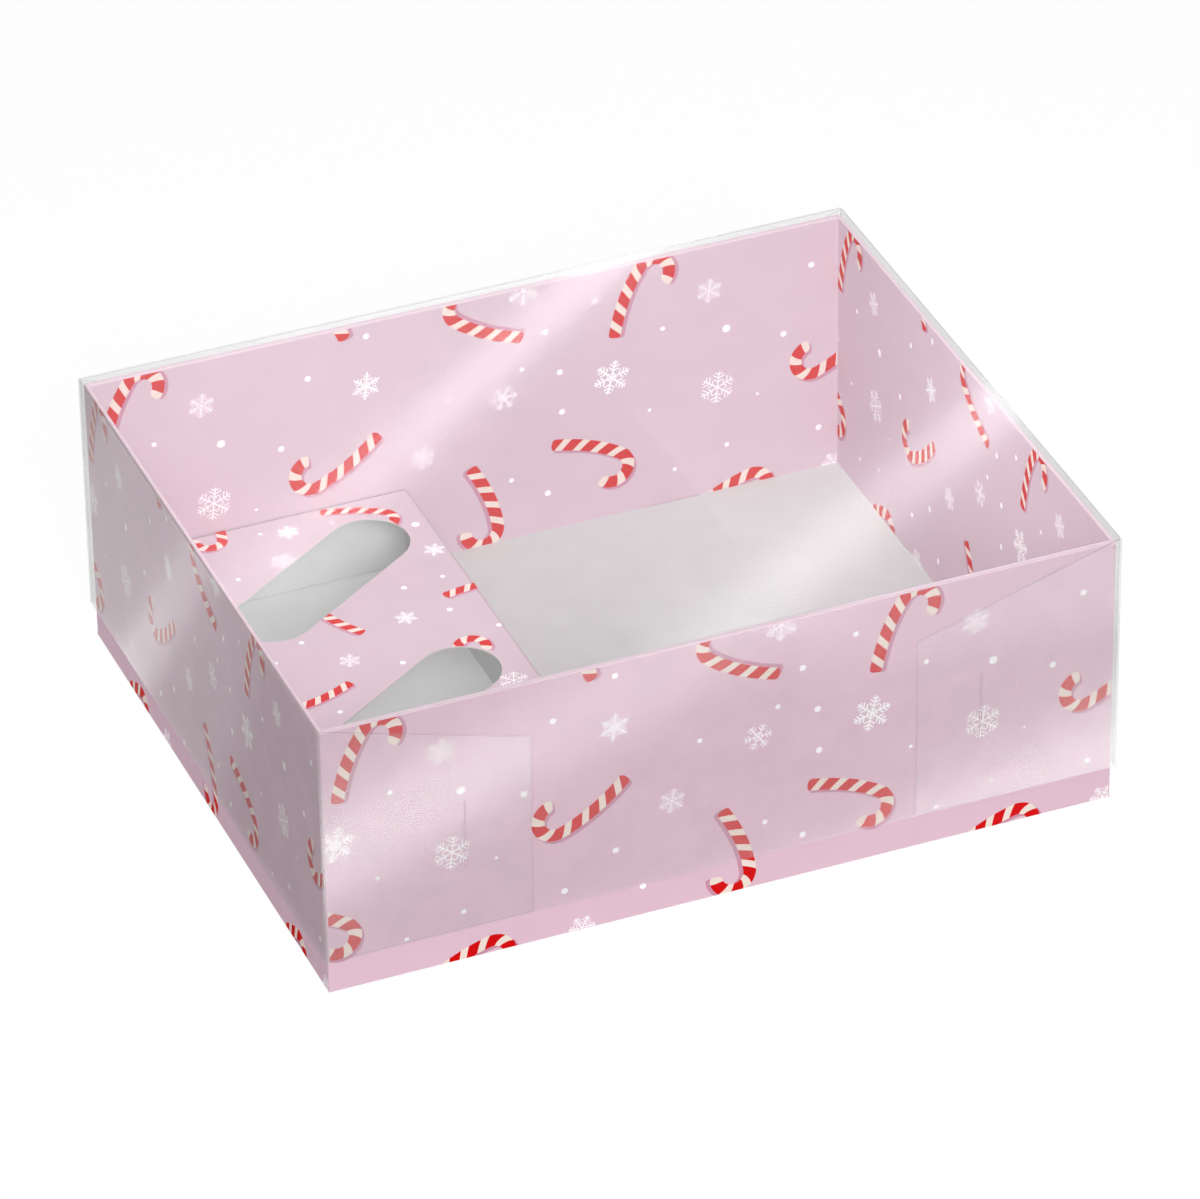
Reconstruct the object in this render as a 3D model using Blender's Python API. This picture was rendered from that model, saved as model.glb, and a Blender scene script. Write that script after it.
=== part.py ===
"""Cake box: a rolled-wall carton tray, a slotted platform insert and a lift-off lid of frosted clear film.

Metres, +Z up, +Y towards the back. The origin is the middle of the tray's underside.
"""

import math

import bmesh
import bpy
from mathutils import Vector

# Driving dimensions of the lid
lid_width = 0.240
lid_depth = 0.195
box_height = 0.0885
skirt_height = 0.0777
film = 0.0003

# Driving dimensions of the tray
board = 0.0004
clearance = 0.0003
rim_drop = 0.0016
foot_tongue_width = 0.018
foot_tongue_share = 0.27
corner_tab_length = 0.055
corner_tab_taper = 0.008

# Driving dimensions of the insert
platform_width = 0.0959
platform_height = 0.0271
slot_radius = 0.0122
slot_angle = math.radians(33.7)
slot_left_margin = 0.0235
slot_right_margin = 0.0083
slot_pitch = 0.0725
slot_from_back = 0.0358
slot_count = 2

# Driving dimensions of the lid's corner flaps and lock tongues
flap_length = 0.062
flap_drop = 0.019
lock_tongue_length = 0.032
lock_tongue_height = 0.022
lock_tongue_drop = 0.0458
lock_slit_from_corner = 0.0423
lock_slit_width = 0.0006

# Points on each half circle of a round end, and how far a cut runs past the sheet
round_end_points = 17
overrun = 0.001

# Colours as linear red, green and blue
PRINTED_PINK = (0.72, 0.50, 0.61)
BARE_GREY = (0.66, 0.65, 0.65)
CLEAR_FILM = (0.86, 0.85, 0.87)
BOARD_ROUGHNESS = 0.55
BARE_ROUGHNESS = 0.85
FILM_ROUGHNESS = 0.25
FILM_ALPHA = 0.35

# The lid's sheets, worked out from its outer size
lid_half_x = lid_width / 2
lid_half_y = lid_depth / 2
lid_under = box_height - film
panel_top = lid_under - clearance
skirt_bottom = box_height - skirt_height
flap_outer_y = lid_half_y - film - clearance
flap_inner_y = flap_outer_y - film
flap_root_x = lid_half_x - film - clearance
flap_tip_x = lid_half_x - flap_length

# The tray's sheets, inside the lid with room for the corner flaps
tray_half_x = lid_half_x - 2 * (film + clearance)
tray_half_y = lid_half_y - 2 * (film + clearance)
tray_height = box_height - rim_drop
wall_bottom = board + clearance
outer_wall_top = tray_height - board - clearance
long_wall_stack = 3 * board + 2 * clearance
short_wall_stack = 2 * board + clearance
inner_half_x = tray_half_x - short_wall_stack
inner_half_y = tray_half_y - long_wall_stack

# The insert, filling the left end of the tray
insert_left = -inner_half_x + clearance
insert_right = insert_left + platform_width
insert_half_y = inner_half_y - clearance
leg_top = platform_height - board - clearance
slot_reach = platform_width - slot_left_margin - slot_right_margin - 2 * slot_radius
slot_run = slot_reach / math.cos(slot_angle)
slot_middle_x = insert_left + slot_left_margin + slot_radius + slot_reach / 2


def clear_scene():
    """Removes everything that the file opened with."""
    for obj in list(bpy.data.objects):
        bpy.data.objects.remove(obj, do_unlink=True)


def new_collection(name):
    collection = bpy.data.collections.new(name)
    bpy.context.scene.collection.children.link(collection)
    return collection


clear_scene()
pieces = new_collection("cake_box")
cutters = new_collection("cutters")


def coat(obj, colour, roughness, alpha=1.0):
    """Gives a piece its own material."""
    material = bpy.data.materials.new(obj.name + "_finish")
    material.use_nodes = True
    shader = material.node_tree.nodes["Principled BSDF"]
    shader.inputs["Base Color"].default_value = (*colour, 1.0)
    shader.inputs["Roughness"].default_value = roughness
    shader.inputs["Metallic"].default_value = 0.0
    shader.inputs["Alpha"].default_value = alpha
    material.diffuse_color = (*colour, alpha)
    obj.data.materials.append(material)


def printed(obj):
    coat(obj, PRINTED_PINK, BOARD_ROUGHNESS)


def bare(obj):
    coat(obj, BARE_GREY, BARE_ROUGHNESS)


def frosted(obj):
    coat(obj, CLEAR_FILM, FILM_ROUGHNESS, FILM_ALPHA)


def joint_empty(name, place, parent=None):
    """An empty that marks a joint: what it carries is parented to it."""
    empty = bpy.data.objects.new(name, None)
    empty.empty_display_size = film
    pieces.objects.link(empty)
    carry(empty, place, parent)
    return empty


def world_of(obj):
    """The place of an object whose parents only move it."""
    place = obj.location.copy()
    while obj.parent:
        obj = obj.parent
        place += obj.location
    return place


def carry(obj, place, parent):
    """Puts an object at a place in the world, under a parent that may be none."""
    obj.location = Vector(place)
    if parent:
        obj.location -= world_of(parent)
        obj.parent = parent


def slab(name, x, y, z, parent=None, collection=None):
    """A sheet or block between two places on each axis, from the cube primitive."""
    low = Vector((min(x), min(y), min(z)))
    high = Vector((max(x), max(y), max(z)))
    mesh = bpy.data.meshes.new(name)
    bm = bmesh.new()
    bmesh.ops.create_cube(bm, size=1)
    bmesh.ops.scale(bm, vec=high - low, verts=bm.verts)
    bm.to_mesh(mesh)
    bm.free()
    obj = bpy.data.objects.new(name, mesh)
    (collection or pieces).objects.link(obj)
    carry(obj, (low + high) / 2, parent)
    return obj


def operate(obj, other, operation):
    """Adds a Boolean with a block that is then kept out of sight."""
    other.hide_render = True
    other.display_type = "WIRE"
    modifier = obj.modifiers.new(other.name, "BOOLEAN")
    modifier.object = other
    modifier.operation = operation
    modifier.solver = "EXACT"


def outline(name, loops, thickness, place, turn=(0, 0, 0), parent=None):
    """A flat sheet cut to the first loop of points, with the others as holes in it."""
    curve = bpy.data.curves.new(name, "CURVE")
    curve.dimensions = "2D"
    curve.fill_mode = "BOTH"
    curve.extrude = thickness / 2
    for loop in loops:
        spline = curve.splines.new("POLY")
        spline.points.add(len(loop) - 1)
        for point, (across, along) in zip(spline.points, loop):
            point.co = (across, along, 0, 1)
        spline.use_cyclic_u = True
    obj = bpy.data.objects.new(name, curve)
    obj.rotation_euler = turn
    pieces.objects.link(obj)
    carry(obj, place, parent)
    return obj


def rectangle(x, y):
    """The corners of a rectangle between two places on each axis."""
    return [(x[0], y[0]), (x[1], y[0]), (x[1], y[1]), (x[0], y[1])]


def arc(centre, radius, start, end):
    """Points on a circle from one angle to another."""
    steps = round_end_points - 1
    angles = [start + (end - start) * i / steps for i in range(round_end_points)]
    return [(centre[0] + radius * math.cos(a), centre[1] + radius * math.sin(a)) for a in angles]


def stadium(centre, run, radius, angle):
    """A round-ended slot: two half circles a run apart, along an angle."""
    half = (math.cos(angle) * run / 2, math.sin(angle) * run / 2)
    far = (centre[0] + half[0], centre[1] + half[1])
    near = (centre[0] - half[0], centre[1] - half[1])
    quarter = math.pi / 2
    first = arc(far, radius, angle - quarter, angle + quarter)
    second = arc(near, radius, angle + quarter, angle + 3 * quarter)
    return first + second


def finger(root, direction, length, height, middle, margin):
    """A lock tongue's outline: straight from its root, with a half-round tip, grown by a margin."""
    half = height / 2 + margin
    tip_centre = (root + direction * (length - height / 2), middle)
    quarter = math.pi / 2
    start, end = (-quarter, quarter) if direction > 0 else (3 * quarter, quarter)
    back = root - direction * margin
    return [(back, middle - half)] + arc(tip_centre, half, start, end) + [(back, middle + half)]


UPRIGHT = (math.pi / 2, 0, 0)
lock_middle = box_height - lock_tongue_drop


def foot_places(length):
    """Where an inner wall's two foot tongues stand along it."""
    return [-foot_tongue_share * length, foot_tongue_share * length]


def tray_base():
    """The floor, cut through for the foot tongues of the four inner walls."""
    base = slab("tray_base", (-tray_half_x, tray_half_x), (-tray_half_y, tray_half_y), (0, board))
    half = foot_tongue_width / 2 + clearance
    through = (-overrun, board + overrun)
    for side in (-1, 1):
        near, far = inner_half_y - clearance, inner_half_y + board + clearance
        for i, x in enumerate(foot_places(2 * inner_half_x)):
            name = f"long_foot_slot_{side}_{i}"
            cut = slab(name, (x - half, x + half), (side * near, side * far), through, None, cutters)
            operate(base, cut, "DIFFERENCE")
        near, far = inner_half_x - clearance, inner_half_x + board + clearance
        for i, y in enumerate(foot_places(2 * inner_half_y)):
            name = f"short_foot_slot_{side}_{i}"
            cut = slab(name, (side * near, side * far), (y - half, y + half), through, None, cutters)
            operate(base, cut, "DIFFERENCE")
    bare(base)


def long_walls():
    """The front and back walls: an outer layer, and an inner layer with its rim and foot tongues."""
    span = (-tray_half_x, tray_half_x)
    inner_span = tray_half_x - board - clearance
    for side, word in ((-1, "front"), (1, "back")):
        outer_y = (side * (tray_half_y - board), side * tray_half_y)
        outer = slab(f"tray_{word}_outer", span, outer_y, (wall_bottom, outer_wall_top))
        printed(outer)
        inner_y = (side * inner_half_y, side * (inner_half_y + board))
        rim_z = (tray_height - board, tray_height)
        inner_z = (wall_bottom, tray_height)
        inner = slab(f"tray_{word}_inner", (-inner_span, inner_span), inner_y, inner_z)
        rim_y = (side * inner_half_y, side * tray_half_y)
        rim = slab(f"{word}_rim", span, rim_y, rim_z, None, cutters)
        operate(inner, rim, "UNION")
        half = foot_tongue_width / 2
        for i, x in enumerate(foot_places(2 * inner_half_x)):
            foot_z = (0, wall_bottom + overrun)
            foot = slab(f"{word}_foot_{i}", (x - half, x + half), inner_y, foot_z, None, cutters)
            operate(inner, foot, "UNION")
        printed(inner)


def short_walls():
    """The left and right walls, between the long ones, layered the same way."""
    outer_span = tray_half_y - board - clearance
    inner_span = inner_half_y - clearance
    for side, word in ((-1, "left"), (1, "right")):
        outer_x = (side * (tray_half_x - board), side * tray_half_x)
        outer_y = (-outer_span, outer_span)
        outer = slab(f"tray_{word}_outer", outer_x, outer_y, (wall_bottom, outer_wall_top))
        printed(outer)
        inner_x = (side * inner_half_x, side * (inner_half_x + board))
        inner_y = (-inner_span, inner_span)
        inner = slab(f"tray_{word}_inner", inner_x, inner_y, (wall_bottom, tray_height))
        rim_x = (side * inner_half_x, side * tray_half_x)
        rim_z = (tray_height - board, tray_height)
        rim = slab(f"{word}_rim", rim_x, inner_y, rim_z, None, cutters)
        operate(inner, rim, "UNION")
        half = foot_tongue_width / 2
        for i, y in enumerate(foot_places(2 * inner_half_y)):
            foot_z = (0, wall_bottom + overrun)
            foot = slab(f"{word}_foot_{i}", inner_x, (y - half, y + half), foot_z, None, cutters)
            operate(inner, foot, "UNION")
        printed(inner)


def corner_tabs():
    """The tabs on the ends of the short walls, trapped between the layers of the long walls."""
    root_x = tray_half_x - board - clearance
    tip_x = root_x - corner_tab_length
    middle_y = tray_half_y - board - clearance - board / 2
    low, high = wall_bottom, outer_wall_top
    for side, word in ((-1, "front"), (1, "back")):
        for end, hand in ((-1, "left"), (1, "right")):
            loop = [
                (end * root_x, low),
                (end * tip_x, low + corner_tab_taper),
                (end * tip_x, high - corner_tab_taper),
                (end * root_x, high),
            ]
            place = (0, side * middle_y, 0)
            tab = outline(f"tray_tab_{word}_{hand}", [loop], board, place, UPRIGHT)
            printed(tab)


def insert():
    """The platform with its slanted slots, on four folded-down legs. It lifts straight out."""
    lift = joint_empty("insert_lift", (insert_left + platform_width / 2, 0, platform_height))
    slots = []
    for i in range(slot_count):
        middle = (slot_middle_x, insert_half_y - slot_from_back - i * slot_pitch)
        slots.append(stadium(middle, slot_run, slot_radius, slot_angle))
    sheet = rectangle((insert_left, insert_right), (-insert_half_y, insert_half_y))
    loops = [[(x - lift.location.x, y) for x, y in loop] for loop in [sheet] + slots]
    top_place = (lift.location.x, 0, platform_height - board / 2)
    printed(outline("insert_top", loops, board, top_place, parent=lift))
    leg_z = (wall_bottom, leg_top)
    span = (-insert_half_y, insert_half_y)
    right = (insert_right - board, insert_right)
    left = (insert_left, insert_left + board)
    printed(slab("insert_right_leg", right, span, leg_z, lift))
    printed(slab("insert_left_leg", left, span, leg_z, lift))
    between = (insert_left + board + clearance, insert_right - board - clearance)
    for side, word in ((-1, "front"), (1, "back")):
        leg_y = (side * (insert_half_y - board), side * insert_half_y)
        printed(slab(f"insert_{word}_leg", between, leg_y, leg_z, lift))


def lid():
    """The lid's top panel, its folding panels, and the flaps and lock tongues that they carry."""
    lift = joint_empty("lid_lift", (0, 0, lid_under))
    top_z = (lid_under, box_height)
    frosted(slab("lid_top", (-lid_half_x, lid_half_x), (-lid_half_y, lid_half_y), top_z, lift))
    for side, word in ((-1, "front"), (1, "back")):
        long_panel(side, word, lift)
    for end, hand in ((-1, "left"), (1, "right")):
        short_panel(end, hand, lift)


def long_panel(side, word, lift):
    """A front or back panel, turning on its crease, with a finger-shaped cut at each end."""
    middle_y = side * (lid_half_y - film / 2)
    fold = joint_empty(f"lid_{word}_fold", (0, middle_y, lid_under), lift)
    sheet = rectangle((-lid_half_x, lid_half_x), (skirt_bottom, panel_top))
    size = (lock_tongue_length, lock_tongue_height, lock_middle)
    cuts = [finger(end * flap_tip_x, end, *size, clearance) for end in (-1, 1)]
    place = (0, middle_y, 0)
    frosted(outline(f"lid_{word}", [sheet] + cuts, film, place, UPRIGHT, fold))
    for end, hand in ((-1, "left"), (1, "right")):
        root = end * flap_tip_x
        flex = joint_empty(f"lid_tongue_{word}_{hand}_flex", (root, middle_y, lock_middle), fold)
        loop = [(x - root, z - lock_middle) for x, z in finger(root, end, *size, 0)]
        tongue_place = (root, middle_y, lock_middle)
        name = f"lid_tongue_{word}_{hand}"
        frosted(outline(name, [loop], film, tongue_place, UPRIGHT, flex))


def short_panel(end, hand, lift):
    """A left or right panel, turning on its crease, with a corner flap at each end."""
    middle_x = end * (lid_half_x - film / 2)
    fold = joint_empty(f"lid_{hand}_fold", (middle_x, 0, lid_under), lift)
    sheet_x = (end * (lid_half_x - film), end * lid_half_x)
    frosted(slab(f"lid_{hand}", sheet_x, (-flap_outer_y, flap_outer_y), (skirt_bottom, panel_top), fold))
    slit_x = lid_half_x - lock_slit_from_corner
    slit_half_height = lock_tongue_height / 2 + clearance
    slit_z = (lock_middle - slit_half_height, lock_middle + slit_half_height)
    slit_near, slit_far = slit_x - lock_slit_width / 2, slit_x + lock_slit_width / 2
    slit = rectangle((end * slit_near, end * slit_far), slit_z)
    flap = [
        (end * flap_root_x, skirt_bottom),
        (end * flap_tip_x, skirt_bottom),
        (end * flap_tip_x, box_height - flap_drop),
        (end * flap_root_x, panel_top),
    ]
    for side, word in ((-1, "front"), (1, "back")):
        place = (0, side * (flap_inner_y + flap_outer_y) / 2, 0)
        frosted(outline(f"lid_flap_{word}_{hand}", [flap, slit], film, place, UPRIGHT, fold))


tray_base()
long_walls()
short_walls()
corner_tabs()
insert()
lid()
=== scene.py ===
"""Looks of a cake box: a printed carton tray, a slotted insert and a lid of frosted clear film.

Metres, +Z up, +Y towards the back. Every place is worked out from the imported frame, or from the sizes below.
"""

import math

import bmesh
import bpy
import numpy as np
from bpy.props import FloatProperty, FloatVectorProperty, PointerProperty
from mathutils import Matrix, Vector


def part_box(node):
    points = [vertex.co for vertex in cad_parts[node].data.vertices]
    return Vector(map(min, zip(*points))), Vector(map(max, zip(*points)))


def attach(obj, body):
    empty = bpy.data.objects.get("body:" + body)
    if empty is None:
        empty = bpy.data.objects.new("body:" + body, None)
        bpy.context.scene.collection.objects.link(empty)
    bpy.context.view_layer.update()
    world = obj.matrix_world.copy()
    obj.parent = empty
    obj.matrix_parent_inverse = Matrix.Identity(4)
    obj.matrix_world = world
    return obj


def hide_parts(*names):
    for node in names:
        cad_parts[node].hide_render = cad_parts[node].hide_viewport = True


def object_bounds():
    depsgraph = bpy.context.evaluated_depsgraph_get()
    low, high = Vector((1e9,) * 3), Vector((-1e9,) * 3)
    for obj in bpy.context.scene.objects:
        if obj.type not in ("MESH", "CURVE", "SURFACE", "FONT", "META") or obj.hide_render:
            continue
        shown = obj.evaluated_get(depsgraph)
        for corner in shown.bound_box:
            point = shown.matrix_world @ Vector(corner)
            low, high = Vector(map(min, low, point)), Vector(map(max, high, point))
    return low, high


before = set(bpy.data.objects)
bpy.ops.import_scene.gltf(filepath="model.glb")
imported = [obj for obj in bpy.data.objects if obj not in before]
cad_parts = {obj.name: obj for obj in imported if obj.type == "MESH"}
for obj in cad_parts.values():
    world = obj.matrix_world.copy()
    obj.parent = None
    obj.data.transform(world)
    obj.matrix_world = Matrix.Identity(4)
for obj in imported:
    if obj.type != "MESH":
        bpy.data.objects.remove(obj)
cad_low, cad_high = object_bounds()

bl_info = {
    "name": "Cake box with a frosted lid",
    "version": (1, 0, 0),
    "blender": (4, 5, 0),
    "location": "3D View > Sidebar > Cake Box",
    "description": "Dresses the packed cake box: printed board, candy cane print, frosted film and a studio",
    "category": "Object",
}

MM = 0.001

# Sizes read from the frame
HALF_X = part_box("tray_front_outer")[1].x
HALF_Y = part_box("tray_back_outer")[1].y
TRAY_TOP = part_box("tray_front_inner")[1].z
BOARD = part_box("tray_base")[1].z
INNER_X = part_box("tray_right_inner")[0].x
INNER_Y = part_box("tray_back_inner")[0].y
LONG_WALL = HALF_Y - INNER_Y
SHORT_WALL = HALF_X - INNER_X
TOP_LOW, TOP_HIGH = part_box("insert_top")
LEG_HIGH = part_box("insert_right_leg")[1]
LEG_TOP = LEG_HIGH.z
LID_LOW, LID_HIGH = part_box("lid_top")
FILM = LID_HIGH.z - LID_LOW.z
PANEL_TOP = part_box("lid_front")[1].z
SKIRT_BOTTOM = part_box("lid_front")[0].z
FLAP_OUTER_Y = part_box("lid_flap_back_left")[1].y
FLAP_ROOT_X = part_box("lid_flap_back_right")[1].x
LID_NODES = [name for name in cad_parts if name.startswith("lid_")]

# The foot tongues of the inner walls and the slots of the insert, which the frame's boxes don't tell
FOOT_WIDTH = 18 * MM
FOOT_SHARE = 0.27
SLOT_RADIUS = 12.2 * MM
SLOT_ANGLE = math.radians(33.7)
SLOT_LEFT_MARGIN = 23.5 * MM
SLOT_RIGHT_MARGIN = 8.3 * MM
SLOT_PITCH = 72.5 * MM
SLOT_FROM_BACK = 35.8 * MM
SLOT_COUNT = 2
ROUND_END_POINTS = 17
SLOT_REACH = TOP_HIGH.x - TOP_LOW.x - SLOT_LEFT_MARGIN - SLOT_RIGHT_MARGIN - 2 * SLOT_RADIUS
SLOT_RUN = SLOT_REACH / math.cos(SLOT_ANGLE)
SLOT_MIDDLE_X = TOP_LOW.x + SLOT_LEFT_MARGIN + SLOT_RADIUS + SLOT_REACH / 2

# The print repeats along a wall, and its art is laid out on a face as wide as the lid
ART_WIDTH = 240 * MM
ART_REPEAT = 160 * MM

# A wall's canes: foot across and up in mm, the stem's heading at the foot and its shadow's side in degrees
WALL_CANES = (
    (5.5, 62.5, 80, -10),
    (81.0, 83.0, 114, -5),
    (136.5, 70.0, 164, 50),
    (90.5, 48.0, 225, -55),
    (145.0, 30.0, -10, -55),
    (27.5, -7.0, 37, -40),
    (119.0, 28.5, -59, 190),
)

# A wall's snowflakes: middle across and up, width in mm, kind and turn in degrees
WALL_FLAKES = (
    (36.0, 71.5, 8.6, "dense", 22),
    (87.0, 65.5, 9.8, "star", 24),
    (4.5, 49.0, 12.0, "bold", 16),
    (130.0, 50.5, 8.8, "ringed", 5),
    (104.0, 36.0, 8.4, "dense", 20),
    (38.5, 37.0, 11.2, "wide", 23),
    (137.0, 86.0, 10.4, "fern", 28),
    (76.5, 0.5, 8.2, "fern", 0),
)

# A wall's snow dots: middle across and up, and radius, in mm
WALL_DOTS = (
    (69.0, 72.5, 1.0), (87.5, 82.5, 1.0), (21.0, 62.0, 0.8), (41.5, 57.0, 1.3), (60.0, 50.5, 1.0),
    (16.5, 34.5, 0.6), (112.5, 54.0, 0.8), (136.0, 59.0, 0.8), (148.0, 55.0, 1.0), (159.5, 77.0, 0.9),
    (143.5, 70.0, 1.0), (148.5, 41.0, 1.0), (51.5, 31.5, 0.5), (87.0, 24.0, 1.0), (132.0, 21.0, 0.8),
    (143.5, 13.5, 1.0), (71.5, 14.5, 1.0), (95.0, 9.5, 1.0), (41.5, 16.0, 0.8), (24.5, 11.5, 0.7),
)

# The platform's canes: foot from its left back corner, across and forward in mm, heading and shadow's side
PLATFORM_CANES = (
    (67.6, 2.4, -11, -60),
    (74.5, 101.6, 85, -40),
    (57.0, 66.5, 126, 200),
    (85.3, 57.8, 13, -60),
    (44.6, 88.6, 208, -70),
    (36.6, -14.6, -80, 240),
    (20.0, 18.0, 250, -30),
    (4.0, 70.0, 60, -60),
    (30.0, 118.0, -60, 200),
    (88.0, 132.0, 170, -40),
    (12.0, 160.0, 20, -60),
    (60.0, 176.0, 80, -20),
)

# The platform's snowflakes and dots, from the same corner
PLATFORM_FLAKES = (
    (55.4, 8.4, 7.6, "star", 20),
    (91.5, 34.0, 7.2, "star", 5),
    (71.0, 64.0, 7.4, "star", 30),
    (48.3, 78.1, 6.8, "dense", 10),
    (87.8, 106.0, 9.0, "wide", 10),
    (48.9, 22.5, 8.2, "fern", 5),
    (12.0, 40.0, 8.0, "wide", 12),
    (16.0, 98.0, 7.4, "star", 0),
    (62.0, 120.0, 7.0, "ringed", 8),
    (40.0, 150.0, 8.4, "fern", 16),
    (84.0, 158.0, 7.0, "dense", 4),
    (20.0, 182.0, 7.6, "star", 12),
)
PLATFORM_DOTS = (
    (91.3, 19.3, 1.25), (76.1, 49.2, 0.9), (88.6, 48.1, 0.75), (84.2, 65.0, 0.9), (94.3, 78.0, 0.8),
    (61.9, 85.1, 0.9), (36.6, 101.2, 0.75), (38.8, 64.1, 0.8), (33.4, 26.0, 0.75), (69.0, 8.8, 0.7),
    (47.6, 6.1, 0.7), (28.0, 71.0, 0.9), (8.0, 8.0, 0.8), (24.0, 54.0, 0.8), (6.0, 124.0, 0.9),
    (46.0, 130.0, 0.8), (72.0, 146.0, 1.0), (30.0, 168.0, 0.7), (92.0, 176.0, 0.9), (52.0, 186.0, 0.8),
)
PLATFORM_SCALE = 0.8

# A cane's stem bends late, its hook evenly. Its stripes slant, and it is wound in rows of points, some of
# them red.
STEM_BEND = math.radians(24)
STEM_EASE = 1.3
HOOK_BEND = math.radians(193)
LINE_POINTS = 200
END_ROUNDING = 0.55
STRIPE_SLANT = math.radians(33)
SLANT_FADE = 1.15
STRIPE_ROWS = 10
RED_ROWS = 6
CANE_COLUMNS = 4

# Half an arm of each snowflake, in shares of its radius: the bar's width, its barbs as pairs of distance and
# length, and the distance of a ring between the arms, or 0
FLAKES = {
    "dense": (0.060, ((0.22, 0.16), (0.40, 0.30), (0.58, 0.30), (0.76, 0.19)), 0),
    "star": (0.095, ((0.16, 0.20), (0.38, 0.26), (0.60, 0.18)), 0),
    "bold": (0.090, ((0.16, 0.18), (0.38, 0.26), (0.58, 0.24), (0.77, 0.13)), 0),
    "ringed": (0.075, ((0.50, 0.28), (0.72, 0.26)), 0.34),
    "wide": (0.070, ((0.34, 0.24), (0.56, 0.36), (0.77, 0.22)), 0),
    "fern": (0.070, ((0.28, 0.22), (0.47, 0.32), (0.66, 0.26), (0.82, 0.14)), 0),
}
SIXTH = math.pi / 3
BARB_WIDTH = 0.85
RING_WIDTH = 0.9
DOT_SIDES = 18

# Reflections in the film: name, face, the middle of its image there in mm, the image's turn in degrees, its
# length and width in mm, and the lamp's radiance
REFLECTIONS = (
    ("lid_step_left", "top", (-28, 114), 37, 290, 84, 0.5),
    ("lid_band_left", "top", (-24, 44), 37, 280, 10, 4.0),
    ("lid_step_right", "top", (60, 126), 36, 430, 232, 0.25),
    ("lid_band_right", "top", (64, -56), 33, 240, 14, 3.6),
    ("front_band", "front", (-46, 73), 20, 180, 20, 3.6),
    ("front_top", "front", (84, 84), -4, 130, 34, 1.4),
    ("front_glow", "front", (100, -12), 15, 220, 58, 3.7),
    ("left_band", "left", (32, 50), 134, 270, 16, 0.6),
    ("left_step_back", "left", (162, -4), 135, 490, 87, 0.18),
    ("left_step_front", "left", (104, -14), 134, 570, 116, 0.26),
)
LAMP_TRAVEL = 0.15

# Points on a quarter circle and on half a corner, and the ends of the straight between two corners, as shares
ARC_POINTS = 6
CORNER_POINTS = 5
STRAIGHT_GAP = 0.02
STRAIGHT_SHARE = 0.97

# Edges sharper than this stay sharp, and points closer than this are one
SHARP_ANGLE = math.radians(35)
WELD = 1e-7

# The print lies on the board in three layers: shadows, snow and canes, at these shares of the ink's relief.
# The ink is thicker than its relief by this factor, and so reaches into the board.
LAYER_LEVELS = (0.5, 0.5, 1.0)
INK_THICKNESS = 1.4


def linear(code):
    """An sRGB colour as #RRGGBB, turned into linear red, green, blue and an alpha of 1."""
    value = np.array([int(code[i:i + 2], 16) for i in (1, 3, 5)]) / 255
    curve = np.where(value <= 0.04045, value / 12.92, ((value + 0.055) / 1.055) ** 2.4)
    return (*curve.tolist(), 1.0)


def colour(name, description, code):
    return FloatVectorProperty(
        name=name, description=description, size=4, subtype="COLOR", min=0, max=1, default=linear(code)
    )


def length(name, description, default):
    return FloatProperty(
        name=name, description=description, default=default, unit="LENGTH", precision=5
    )


def power(name, description, default):
    return FloatProperty(name=name, description=description, default=default, unit="POWER")


def angle(name, description, degrees):
    return FloatProperty(name=name, description=description, default=math.radians(degrees), subtype="ANGLE")


def share(name, description, default):
    return FloatProperty(name=name, description=description, default=default, min=0, max=1, subtype="FACTOR")


class BoardLook(bpy.types.PropertyGroup):
    """Colours of the printed board and the radii of its folds."""

    pink: colour("Printed pink", "Ground colour of the print on the outside", "#DFBECD")
    lining: colour("Lining pink", "Ground colour of the print on the inside", "#D6C0CB")
    insert: colour("Insert pink", "Ground colour of the print on the insert", "#CFBBC5")
    worn: colour("Crease", "Board that shows where the print has cracked along a fold", "#F3EAEE")
    # The grey back's faint green cast offsets the pink light that the walls bounce onto it: painted light
    bare: colour("Bare back", "Unprinted grey back of the board", "#C8CAC9")
    core: colour("Cut edge", "Core of the board where it is cut", "#DCD8D4")
    rim_radius: length("Rim radius", "Radius of the roll along the top of a wall", 0.45 * MM)
    corner_radius: length("Corner radius", "Outer radius of the tray's upright corners", 0.5 * MM)
    fold_radius: length("Fold radius", "Outer radius of the insert's folds", 0.6 * MM)


class PrintLook(bpy.types.PropertyGroup):
    """Inks of the candy cane print and the sizes of its motifs."""

    red: colour("Red stripes", "Red of the canes", "#D2080C")
    cream: colour("Cream stripes", "Cream of the canes", "#EEDFD4")
    shadow: colour("Drop shadow", "Mauve shadow printed beside each cane", "#C890A6")
    snow: colour("Snow", "White of the snowflakes and dots", "#FFFCFF")
    cane_width: length("Cane width", "Width of a cane", 3.9 * MM)
    stem_length: length("Stem length", "From the foot of a cane to its hook", 23.9 * MM)
    hook_length: length("Hook length", "From the hook's beginning to its tip", 17.4 * MM)
    stripe_pitch: length("Stripe pitch", "From one red stripe to the next", 6.1 * MM)
    shadow_offset: length("Shadow offset", "How far a shadow lies beside its cane", 1.25 * MM)
    relief: length("Ink relief", "How far the canes stand above the board", 0.03 * MM)


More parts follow.
